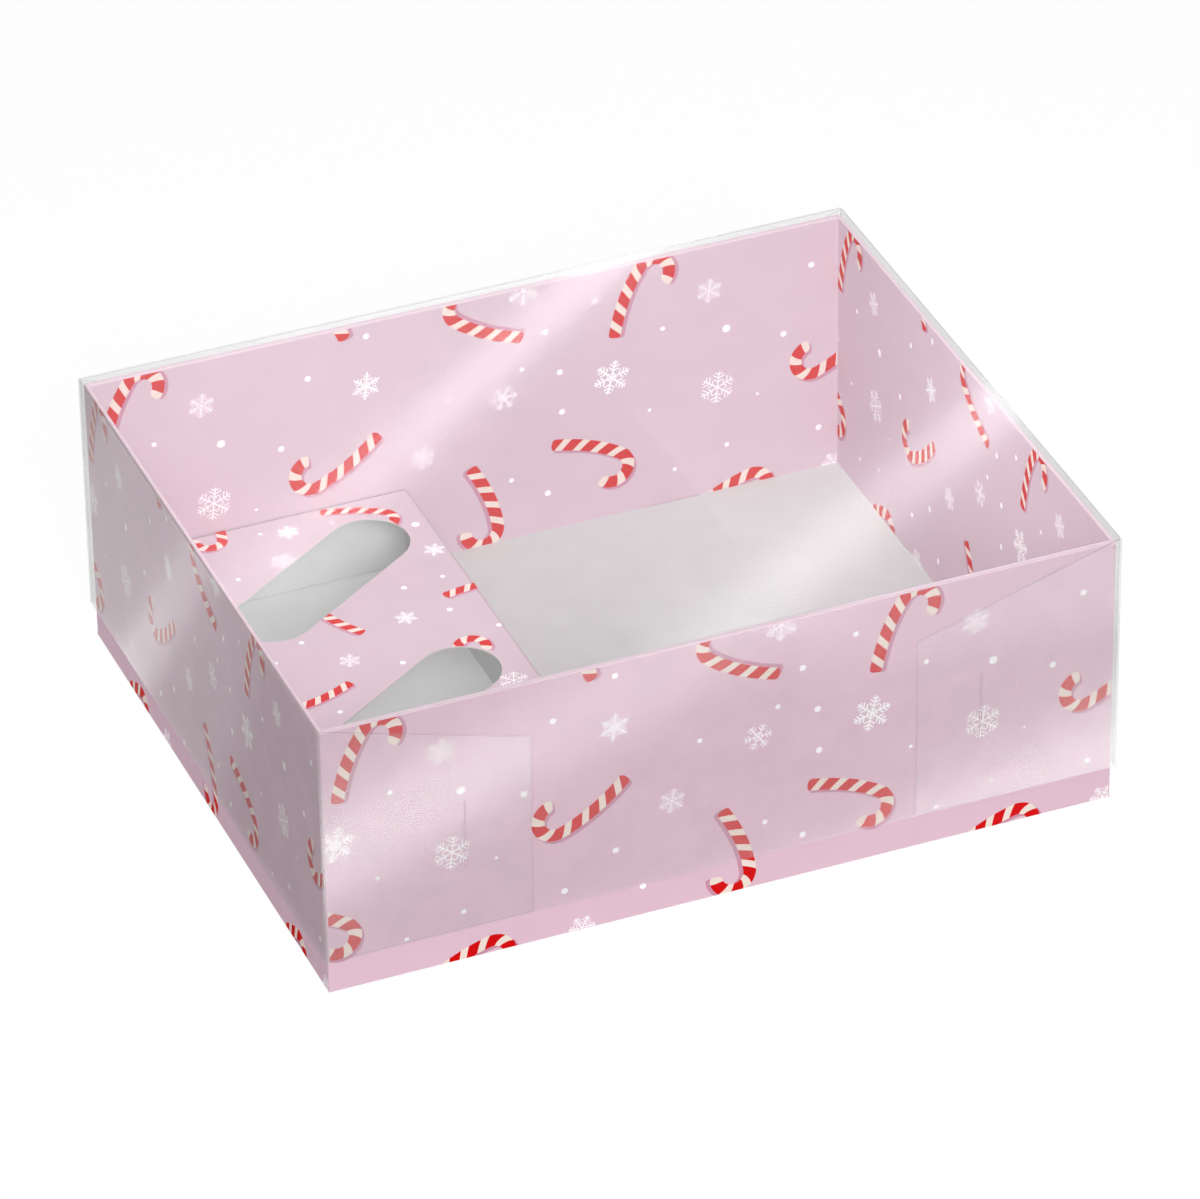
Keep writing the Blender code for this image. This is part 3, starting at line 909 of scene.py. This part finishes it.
def tray_wall(side, name, nodes, material):
    """One rolled wall of the tray with mitred ends and two foot tongues.

    The profile goes up the outer face, round a quarter circle, across the rim, round another, and down the
    inner face, as a share of the wall's thickness and a height. Each of its points runs along one side of a
    rounded rectangle whose half sizes shrink with that share.
    """
    look = bpy.context.scene.cake_box_board
    cos, sin = quarter()
    rim = look.rim_radius
    roll = rim / LONG_WALL
    flat_from = roll * 1.4
    straight_to = TRAY_TOP - rim * 1.6
    inner_corner = 0.15 * MM
    half_inward = np.concatenate([[0, 0], roll * (1 - cos), [flat_from]])
    half_height = np.concatenate([[BOARD, straight_to], TRAY_TOP - rim + rim * sin, [TRAY_TOP]])
    inward = np.concatenate([half_inward, 1 - half_inward[::-1]])
    height = np.concatenate([half_height, half_height[::-1]])
    long_side = side % 2 == 0
    half_run, half_out = (HALF_X, HALF_Y) if long_side else (HALF_Y, HALF_X)
    run_wall, out_wall = (SHORT_WALL, LONG_WALL) if long_side else (LONG_WALL, SHORT_WALL)
    radius = look.corner_radius * (1 - inward) + inner_corner * inward
    along, outward = side_path(half_run - inward * run_wall, half_out - inward * out_wall, radius)
    x, y = turned(along, outward, side)
    z = np.broadcast_to(height[:, None], x.shape)
    rows, columns = x.shape
    number = np.arange(rows * columns).reshape(rows, columns)
    points = np.stack([x, y, z], axis=-1).reshape(-1, 3)
    caps = [number[:, 0].tolist(), number[::-1, -1].tolist()]
    parts = [(points, grid_quads(rows, columns, close_rows=True).tolist() + caps, 0)]
    inner_run = INNER_X if long_side else INNER_Y
    inner_out = INNER_Y if long_side else INNER_X
    low, high, rounding = 0.02 * MM, BOARD * 0.98, BOARD * 0.2
    box = [np.full(2, size) for size in (FOOT_WIDTH / 2, BOARD / 2, rounding)]
    tongue, faces, _ = rings_solid(*box, (low, high))
    for end in (-1, 1):
        middle = end * FOOT_SHARE * 2 * inner_run
        x, y = turned(tongue[:, 0] + middle, tongue[:, 1] + inner_out + BOARD / 2, side)
        parts.append((np.stack([x, y, tongue[:, 2]], axis=-1), faces, 0))
    mesh = to_mesh(name, *gather(parts))
    close_shells(mesh)
    return place(name, mesh, "tray", [material], nodes)


def round_slot(middle_y):
    """A slanted slot with round ends: two half circles about points half a run either way from its middle."""
    half_turn = np.linspace(-math.pi / 2, math.pi / 2, ROUND_END_POINTS)
    along = complex(math.cos(SLOT_ANGLE), math.sin(SLOT_ANGLE))
    far = SLOT_RUN / 2 + SLOT_RADIUS * np.exp(1j * half_turn)
    path = np.concatenate([far, -far]) * along + complex(SLOT_MIDDLE_X, middle_y)
    return np.stack([path.real, path.imag], axis=-1)


def slot_paths():
    """The slots' outlines, one pitch apart from the back of the platform."""
    return [round_slot(TOP_HIGH.y - SLOT_FROM_BACK - i * SLOT_PITCH) for i in range(SLOT_COUNT)]


def loop_edges(count, start=0):
    """Edges round a closed loop of points that are numbered in turn."""
    here = np.arange(count)
    return np.stack([here, (here + 1) % count], axis=-1) + start


def filled(loops, level):
    """Triangles between an outer outline and the holes in it, at one height, as a mesh."""
    points = np.concatenate(loops)
    starts = np.cumsum([0] + [len(loop) for loop in loops])
    edges = np.concatenate([loop_edges(len(loop), start) for loop, start in zip(loops, starts)])
    mesh = bpy.data.meshes.new("filled")
    mesh.from_pydata(np.column_stack([points, np.full(len(points), level)]).tolist(), edges.tolist(), [])
    bm = bmesh.new()
    bm.from_mesh(mesh)
    bmesh.ops.triangle_fill(bm, edges=bm.edges[:], use_beauty=True, normal=(0, 0, 1))
    bm.to_mesh(mesh)
    bm.free()
    return mesh


def slot_wall(path, low, high):
    """Quads along a slot's outline between two heights."""
    count = len(path)
    points = np.concatenate([np.column_stack([path, np.full(count, level)]) for level in (high, low)])
    edge = loop_edges(count)
    return points, np.column_stack([edge, edge[:, ::-1] + count]).tolist()


def insert_platform(materials):
    """The insert's top: a flat sheet with two slots, rolled down on all four sides.

    The flat part is the area between the sheet's inner outline and the slots, on both faces of the board,
    with a wall round each slot. The roll is a quarter circle of the fold's radius outside and a smaller one
    inside, carried round a rounded rectangle, and ends in a lip above the legs. Both arcs are passed through
    from their far end, so the profile crosses itself inside the roll and leaves a fine groove round the flat
    part.
    """
    look = bpy.context.scene.cake_box_board
    radius = look.fold_radius
    middle_x = (TOP_LOW.x + TOP_HIGH.x) / 2
    half_x, half_y = (TOP_HIGH.x - TOP_LOW.x) / 2, TOP_HIGH.y
    cos, sin = quarter()
    flat_from = radius * 1.4
    within = radius - BOARD
    under = TOP_HIGH.z - BOARD
    corner = 0.3 * MM
    outer_in = np.concatenate([[flat_from], radius * (1 - sin[::-1]), [0]])
    outer_z = np.concatenate([[TOP_HIGH.z], TOP_HIGH.z - radius * (1 - cos[::-1]), [LEG_TOP]])
    inner_in = np.concatenate([[BOARD], radius - within * sin, [flat_from]])
    inner_z = np.concatenate([[LEG_TOP], TOP_HIGH.z - radius + within * cos, [under]])
    inset = np.concatenate([outer_in, inner_in])
    height = np.concatenate([outer_z, inner_z])
    points, quads = ring_grid(half_x - inset, half_y - inset, np.full(len(inset), corner), height)
    points[..., 0] += middle_x
    outline = points[0, :, :2]
    slots = slot_paths()
    parts = [(points.reshape(-1, 3), quads, 0)] + [(*slot_wall(path, under, TOP_HIGH.z), 1) for path in slots]
    sheets = [filled([outline] + slots, level) for level in (TOP_HIGH.z, under)]
    mesh = joined("insert_platform", [to_mesh("roll", *gather(parts))] + sheets)
    close_shells(mesh)
    return place("insert_platform", mesh, "insert", materials, ["insert_top"])


def lid_top_sheet(material):
    """The lid's top, with its edges bent down over the panels.

    Rings of rounded rectangles: flat across the top, a quarter circle of the crease's radius outside, the
    lip's end, a smaller quarter circle inside, and flat again underneath.
    """
    look = bpy.context.scene.cake_box_film
    radius = look.crease_radius
    within = radius - FILM
    cos, sin = quarter()
    lip = PANEL_TOP + 0.02 * MM
    corner = 0.35 * MM
    flat_from = radius * 1.5
    top = LID_HIGH.z
    middle_z = top - radius
    outer_in, inner_in = radius * (1 - sin), (radius - within * sin)[::-1]
    outer_z, inner_z = middle_z + radius * cos, middle_z + within * cos[::-1]
    inset = np.concatenate([[flat_from], outer_in, [FILM], inner_in, [flat_from]])
    height = np.maximum(np.concatenate([[top], outer_z, [lip], inner_z, [top - FILM]]), lip)
    part = rings_solid(LID_HIGH.x - inset, LID_HIGH.y - inset, np.full(len(inset), corner), height)
    mesh = to_mesh("lid_top_sheet", *gather([part]))
    close_shells(mesh)
    return place("lid_top_sheet", mesh, "lid", [material], ["lid_top"])


def lid_side_sheet(end, material):
    """A short panel of the lid, bent round at both ends to meet its corner flaps.

    The path of its outer face runs along the panel and round a quarter circle at each end, and the inner face
    follows at the film's thickness. The path is the same at each height.
    """
    hand = "left" if end < 0 else "right"
    radius = LID_HIGH.x - FLAP_ROOT_X
    cos, sin = quarter()
    loop_x, loop_y = [], []
    for bend in (radius, radius - FILM):
        out = LID_HIGH.x - radius + bend * sin
        across = FLAP_OUTER_Y - radius + bend * cos
        loop_x.append(np.concatenate([out, out[::-1]]) * end)
        loop_y.append(np.concatenate([-across, across[::-1]]))
    path = np.column_stack([np.concatenate([way[0], way[1][::-1]]) for way in (loop_x, loop_y)])
    margin = 0.2 * MM
    levels = (SKIRT_BOTTOM, SKIRT_BOTTOM + margin, PANEL_TOP - margin, PANEL_TOP)
    count = len(path)
    points = np.concatenate([np.column_stack([path, np.full(count, level)]) for level in levels])
    quads = grid_quads(len(levels), count, close_columns=True).tolist()
    step = np.arange(count // 2 - 1)
    strip = np.stack([step, step + 1, count - 2 - step, count - 1 - step], axis=-1)
    ends = strip[:, ::-1].tolist() + (strip + (len(levels) - 1) * count).tolist()
    name = f"lid_{hand}_sheet"
    mesh = to_mesh(name, points, quads + ends)
    close_shells(mesh)
    return place(name, mesh, f"{hand}_panel", [material], [f"lid_{hand}"])


SIDES = ("front", "right", "back", "left")


class CAKEBOX_OT_tray(bpy.types.Operator):
    """Builds the tray's four rolled walls and finishes its floor and corner tabs"""

    bl_idname = "cake_box.tray"
    bl_label = "Carton tray"

    def execute(self, context):
        board = printed_board()
        for side, word in enumerate(SIDES):
            tray_wall(side, f"tray_{word}_wall", [f"tray_{word}_outer", f"tray_{word}_inner"], board)
        coat_node("tray_base", base_board())
        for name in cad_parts:
            if name.startswith("tray_tab_"):
                coat_node(name, board)
        return {"FINISHED"}


class CAKEBOX_OT_insert(bpy.types.Operator):
    """Builds the insert's slotted platform with rolled edges and finishes its legs"""

    bl_idname = "cake_box.insert"
    bl_label = "Slotted insert"

    def execute(self, context):
        board = insert_board()
        insert_platform([board, cut_edge()])
        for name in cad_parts:
            if name.startswith("insert_") and name.endswith("_leg"):
                coat_node(name, board)
        return {"FINISHED"}


class CAKEBOX_OT_lid(bpy.types.Operator):
    """Builds the lid's creased sheets and finishes its panels, flaps and lock tongues"""

    bl_idname = "cake_box.lid"
    bl_label = "Frosted lid"

    def execute(self, context):
        look = context.scene.cake_box_film
        film = frosted_film("frosted_calendered_film", look.side_frost, look.veil)
        # The flaps' film: a paler veil as painted light, and darker cut edges as painted shade
        flap = frosted_film("flap_film_with_painted_light_and_shade", look.flap_frost, look.flap_veil_painted_light, shade_cut_edges=True)
        # The top's thinner frost is painted shade, offsetting the stronger light on it
        lid_top_sheet(frosted_film("top_film_with_painted_shade", look.top_frost_shaded, look.veil))
        for end in (-1, 1):
            lid_side_sheet(end, film)
        for name in LID_NODES:
            coat_node(name, flap if "flap" in name else film)
        return {"FINISHED"}


class CAKEBOX_OT_wall_print(bpy.types.Operator):
    """Prints candy canes and snow on the outside and the inside of the tray's walls"""

    bl_idname = "cake_box.wall_print"
    bl_label = "Wall print"

    def execute(self, context):
        corner = context.scene.cake_box_board.corner_radius
        marks = repeated(WALL_CANES, 40), repeated(WALL_FLAKES, 10), repeated(WALL_DOTS, 10)
        for side, word in enumerate(SIDES):
            long_side = side % 2 == 0
            half_run, half_out = (HALF_X, HALF_Y) if long_side else (HALF_Y, HALF_X)
            inner_run, inner_out = (INNER_X, INNER_Y) if long_side else (INNER_Y, INNER_X)
            lid_run = LID_HIGH.x if long_side else LID_HIGH.y
            layers = motif_layers(*marks, 1.0, 2 * lid_run / ART_WIDTH)
            turn = side * math.pi / 2
            along = Vector((math.cos(turn), math.sin(turn), 0))
            out = Vector((math.sin(turn), -math.cos(turn), 0))
            self.face(f"{word}_wall_print", layers, lid_run, half_run - corner, 0.0, out * half_out, along)
            inner_run -= 0.2 * MM
            self.face(f"{word}_lining_print", layers, lid_run, inner_run, BOARD, out * inner_out, -along)
        return {"FINISHED"}

    def face(self, name, layers, lid_run, half_run, low, middle, along):
        """Lays the art from the lid's edge and cuts it to the face's own width, from its foot to the rim."""
        top = TRAY_TOP - bpy.context.scene.cake_box_board.rim_radius
        up = Vector((0, 0, 1))
        start = lid_run - half_run
        shifted = [[moved(part, (-start, -low)) for part in parts] for parts in layers]
        origin = middle - along * half_run + up * low
        inked(name, ink_layers(shifted, 2 * half_run, top - low, face_matrix(origin, along, up)), "tray")


class CAKEBOX_OT_platform_print(bpy.types.Operator):
    """Prints the insert's platform, cut out at the slots, and the leg that shows beside the floor"""

    bl_idname = "cake_box.platform_print"
    bl_label = "Insert print"

    def execute(self, context):
        edge = context.scene.cake_box_board.fold_radius * 0.3
        width, depth = (2 * (half - edge) for half in ((TOP_HIGH.x - TOP_LOW.x) / 2, TOP_HIGH.y))
        front = 2 * TOP_HIGH.y / MM
        tables = (PLATFORM_CANES, PLATFORM_FLAKES, PLATFORM_DOTS)
        marks = [[(across, front - back, *rest) for across, back, *rest in table] for table in tables]
        layers = motif_layers(*marks, PLATFORM_SCALE)
        shifted = [[moved(part, (-edge, -edge)) for part in parts] for parts in layers]
        corner = (TOP_LOW.x + edge, -TOP_HIGH.y + edge, TOP_HIGH.z)
        flat = ink_layers(shifted, width, depth, face_matrix(corner, (1, 0, 0), (0, 1, 0)))
        mesh = joined("platform_print", [self.cut_slots(layer) for layer in flat])
        place("platform_print", mesh, "insert", inks(), smooth=False)
        over = face_matrix((LEG_HIGH.x, -TOP_HIGH.y + edge, LEG_TOP), (0, 0, -1), (0, 1, 0))
        inked("leg_print", ink_layers(shifted, LEG_TOP, depth, over), "insert")
        return {"FINISHED"}

    def cut_slots(self, layer):
        """A layer of ink thickened into the board, with the slots taken out of it by a Boolean."""
        obj = new_object("layer", layer)
        thicken(obj)
        cutters = []
        for path in slot_paths():
            count = len(path)
            points, walls = slot_wall(path, TOP_HIGH.z - 2 * BOARD, TOP_HIGH.z + 2 * BOARD)
            ends = [list(range(count)), list(range(2 * count - 1, count - 1, -1))]
            mesh = to_mesh("slot", points, walls + ends)
            close_shells(mesh)
            cut = obj.modifiers.new("slot", "BOOLEAN")
            cut.object = new_object("slot", mesh)
            cut.operation = "DIFFERENCE"
            cut.solver = "EXACT"
            cutters.append(cut.object)
        bpy.context.view_layer.update()
        graph = bpy.context.evaluated_depsgraph_get()
        result = bpy.data.meshes.new_from_object(obj.evaluated_get(graph))
        for old in [obj] + cutters:
            data = old.data
            bpy.data.objects.remove(old)
            bpy.data.meshes.remove(data)
        return result


class CAKEBOX_OT_stage(bpy.types.Operator):
    """Sets up the pale floor, the soft lights and the camera"""

    bl_idname = "cake_box.stage"
    bl_label = "Studio"

    def execute(self, context):
        look = context.scene.cake_box_stage
        self.floor(look)
        self.world(look)
        camera = self.camera(look)
        context.scene.camera = camera
        self.lights(look, camera)
        context.scene.view_settings.view_transform = "Standard"
        context.scene.cycles.transparent_max_bounces = 32
        return {"FINISHED"}

    def floor(self, look):
        """A wide sheet of grid points at height 0, shown white, but with the object's soft shadow kept.

        Glossy rays pass it, because some of the film's reflection lamps stand below it, and meet the white
        world.
        """
        reach, level, count = 6.0, -0.02 * MM, 9
        ways = np.linspace(-reach, reach, count)
        x, y = np.meshgrid(ways, ways, indexing="ij")
        points = np.stack([x, y, np.full(x.shape, level)], axis=-1).reshape(-1, 3)
        mesh = to_mesh("studio_floor", points, grid_quads(count, count)[:, ::-1].tolist())
        floor = new_object("studio_floor", mesh)
        material, tree, coords = start_material("matt_white_sweep")
        seen = shown(tree)
        sheet = add(tree, "Mix", {0: seen, 6: linear("#BEBEBE"), 7: linear("#FAFAFA")}, data_type="RGBA")
        paper = add(tree, "BsdfDiffuse", {"Color": sheet.outputs[2]})
        glow = add(tree, "Emission", {"Color": look.backdrop})
        glowing = add(tree, "Math", {0: seen, 1: 0.93}, operation="MULTIPLY")
        mixed = add(tree, "MixShader", {0: glowing, 1: paper, 2: glow})
        add(tree, "OutputMaterial", {"Surface": mixed})
        mesh.materials.append(material)
        floor.visible_glossy = False

    def world(self, look):
        """Even light all round, and white where it is seen, mirrored or passed by the film."""
        world = bpy.data.worlds.new("studio")
        bpy.context.scene.world = world
        world.use_nodes = True
        tree = world.node_tree
        tree.nodes.clear()
        strength = add(tree, "Math", {0: shown(tree), 1: look.fill}, operation="MAXIMUM")
        glow = add(tree, "Background", {"Color": look.backdrop, "Strength": strength})
        add(tree, "OutputWorld", {"Surface": glow})

    def camera(self, look):
        """The camera looks along the fitted direction, from its distance, moved right and up."""
        a, e, r = look.azimuth, look.elevation, look.roll
        back = Vector((math.sin(a) * math.cos(e), -math.cos(a) * math.cos(e), math.sin(e)))
        level = (-back).cross(Vector((0, 0, 1))).normalized()
        upright = level.cross(-back)
        right = math.cos(r) * level + math.sin(r) * upright
        up = -math.sin(r) * level + math.cos(r) * upright
        spot = back * look.distance + right * look.aim_right + up * look.aim_up
        data = bpy.data.cameras.new("camera")
        data.lens = look.lens
        data.sensor_width = 36
        data.sensor_fit = "HORIZONTAL"
        data.clip_start = 0.05
        data.clip_end = 50
        camera = new_object("camera", data)
        axes = Matrix((right, up, back)).transposed().to_4x4()
        camera.matrix_world = Matrix.Translation(spot) @ axes
        return camera

    def area(self, name, spot, target, width, height, watts):
        """A rectangular lamp that the camera doesn't see, aimed from a spot at a target."""
        data = bpy.data.lights.new(name, "AREA")
        data.shape = "RECTANGLE"
        data.size = width
        data.size_y = height
        data.energy = watts
        lamp = new_object(name, data)
        aim = (Vector(target) - Vector(spot)).to_track_quat("-Z", "Y")
        lamp.matrix_world = Matrix.Translation(spot) @ aim.to_matrix().to_4x4()
        lamp.visible_camera = False
        return lamp

    def lights(self, look, camera):
        """One large lamp with shadows, four small shadowless ones for the inside, and the film's reflections.

        Three stand over the open box and face down, right and back, and one lies under the platform, so each
        wall, the floor, the insert and what shows through its slots get their share. Only matt surfaces meet
        them.
        """
        middle = (cad_low + cad_high) / 2
        self.area("key_light", (-0.50, -2.05, 1.50), middle, 0.8, 0.8, look.key_power)
        under = Vector(((TOP_LOW.x + TOP_HIGH.x) / 2, 0.0, TOP_HIGH.z - 2 * BOARD))
        spots = (
            ("top_light", (0.0, 0.0, 0.50), (0.0, 0.0, 0.0), 0.20, 0.16, look.top_power),
            ("side_light", (0.02, -0.03, 0.20), (0.12, -0.03, 0.20), 0.10, 0.30, look.side_power),
            ("back_light", (-0.062, -0.03, 0.20), (-0.062, 0.12, 0.20), 0.10, 0.30, look.back_power),
            ("under_light", under, (under.x, 0.0, 0.0), 0.08, 0.17, look.under_power),
        )
        for spot in spots:
            lamp = self.area(*spot)
            lamp.data.color = look.inner_tint[:3]
            lamp.data.use_shadow = False
            lamp.visible_glossy = False
        for reflection in REFLECTIONS:
            self.reflection(look.band_power, camera.matrix_world.translation, *reflection)

    def reflection(self, strength, eye, name, face, middle, turn, run, width, radiance):
        """A lamp that only glossy rays meet, standing where the film mirrors a line of a face to the camera.

        Each end of the line is carried along the mirrored view of it. The lamp faces back along that view,
        and its power is its radiance times its area times pi.
        """
        axis, level = {"top": (2, LID_HIGH.z), "front": (1, LID_LOW.y), "left": (0, LID_LOW.x)}[face]
        turn = math.radians(turn)
        reach = np.array([math.cos(turn), math.sin(turn)]) * run / 2
        ends, views = [], []
        for side in (-1, 1):
            point = Vector(np.insert((np.array(middle) + side * reach) * MM, axis, level))
            view = (point - eye).normalized()
            view[axis] = -view[axis]
            ends.append(point + view * LAMP_TRAVEL)
            views.append(view)
        away = (views[0] + views[1]).normalized()
        along = ends[1] - ends[0]
        along -= along.dot(away) * away
        across = along.normalized()
        tall = width * MM * (1 + LAMP_TRAVEL / (point - eye).length)
        watts = strength * radiance * along.length * tall * math.pi
        spot = (ends[0] + ends[1]) / 2
        lamp = self.area(name, spot, ends[0], along.length, tall, watts)
        axes = Matrix((across, away.cross(across), away)).transposed()
        lamp.matrix_world = Matrix.Translation(spot) @ axes.to_4x4()
        lamp.data.use_shadow = False
        lamp.visible_diffuse = False


class CAKEBOX_PT_panel(bpy.types.Panel):
    """Lists the steps that dress the cake box"""

    bl_idname = "CAKEBOX_PT_panel"
    bl_label = "Cake Box"
    bl_space_type = "VIEW_3D"
    bl_region_type = "UI"
    bl_category = "Cake Box"

    def draw(self, context):
        for step in STEPS:
            self.layout.operator(step.bl_idname)
        for name in GROUPS:
            group = getattr(context.scene, name)
            for key in group.__annotations__:
                self.layout.prop(group, key)


STEPS = (
    CAKEBOX_OT_tray,
    CAKEBOX_OT_insert,
    CAKEBOX_OT_lid,
    CAKEBOX_OT_wall_print,
    CAKEBOX_OT_platform_print,
    CAKEBOX_OT_stage,
)
GROUPS = {
    "cake_box_board": BoardLook,
    "cake_box_print": PrintLook,
    "cake_box_film": FilmLook,
    "cake_box_stage": StageLook,
}


def register():
    for group in GROUPS.values():
        bpy.utils.register_class(group)
    for name, group in GROUPS.items():
        setattr(bpy.types.Scene, name, PointerProperty(type=group))
    for step in STEPS:
        bpy.utils.register_class(step)
    bpy.utils.register_class(CAKEBOX_PT_panel)


def unregister():
    bpy.utils.unregister_class(CAKEBOX_PT_panel)
    for step in reversed(STEPS):
        bpy.utils.unregister_class(step)
    for name, group in GROUPS.items():
        delattr(bpy.types.Scene, name)
        bpy.utils.unregister_class(group)


def main():
    """Dresses the box step by step."""
    register()
    bpy.ops.cake_box.tray()
    bpy.ops.cake_box.insert()
    bpy.ops.cake_box.lid()
    bpy.ops.cake_box.wall_print()
    bpy.ops.cake_box.platform_print()
    bpy.ops.cake_box.stage()


if __name__ == "__main__":
    main()
